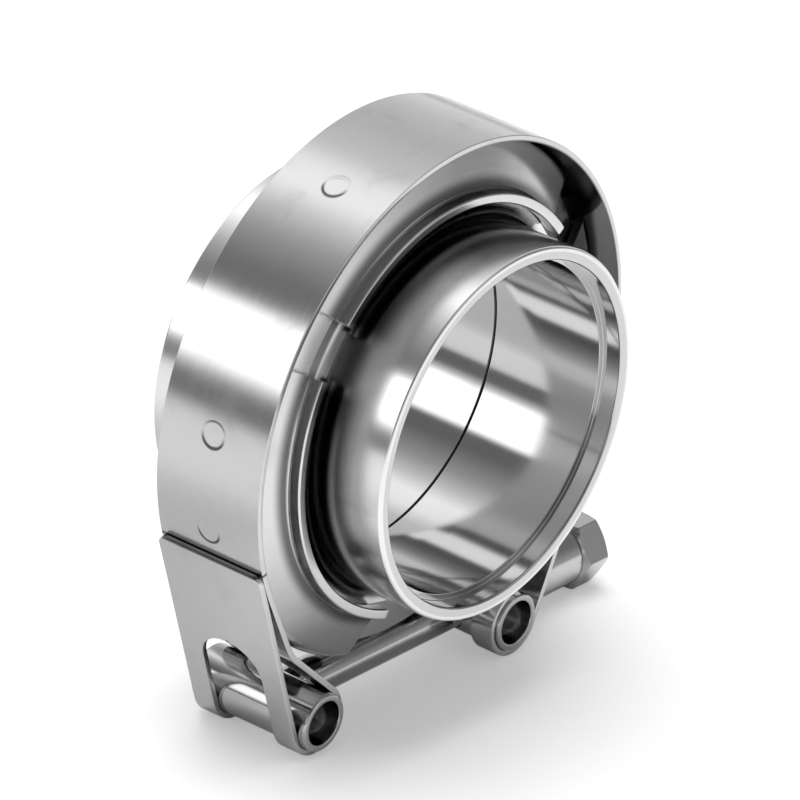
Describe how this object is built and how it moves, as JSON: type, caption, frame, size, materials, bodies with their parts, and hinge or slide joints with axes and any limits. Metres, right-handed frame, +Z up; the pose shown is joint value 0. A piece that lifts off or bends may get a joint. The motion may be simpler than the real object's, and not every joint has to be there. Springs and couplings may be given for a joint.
{
  "type": "v band clamp",
  "caption": "Stainless V band clamp with T-bolt and nut, closed on a pair of conical flanges with short pipe stubs.",
  "frame": {"origin": "centre of the bore, on the joint between the two flanges", "axes": "+Y along the pipe, from the front flange to the rear one; +Z up, away from the T-bolt; +X along the T-bolt, towards the nut"},
  "size_m": [0.0899, 0.0406, 0.0864],
  "materials": {
    "strap": "satin, brushed along the strap",
    "segments": "satin",
    "flanges": "finely turned",
    "bolt": "dull",
    "nut": "satin"
  },
  "bodies": {
    "clamp": {"band": "strap", "v_segment_top": "segments", "v_segment_left": "segments", "v_segment_right": "segments", "t_bolt": "bolt", "trunnion": "bolt", "flange_front": "flanges", "flange_rear": "flanges"},
    "sleeve": {"sleeve": "nut"},
    "nut": {"hex_nut": "nut"}
  },
  "joints": [
    {"name": "sleeve_slide", "type": "slide", "parent": "clamp", "child": "sleeve", "axis": [1, 0, 0], "range_m": [0, 0.005]},
    {"name": "nut_spin", "type": "hinge", "parent": "sleeve", "child": "nut", "pos_m": [0.0455, 0, -0.04139], "axis": [1, 0, 0], "range_deg": [0, 1801]}
  ],
  "couplings": [
    {"joint": "nut_spin", "follows": "sleeve_slide", "rad_per_m": 6283.2}
  ]
}
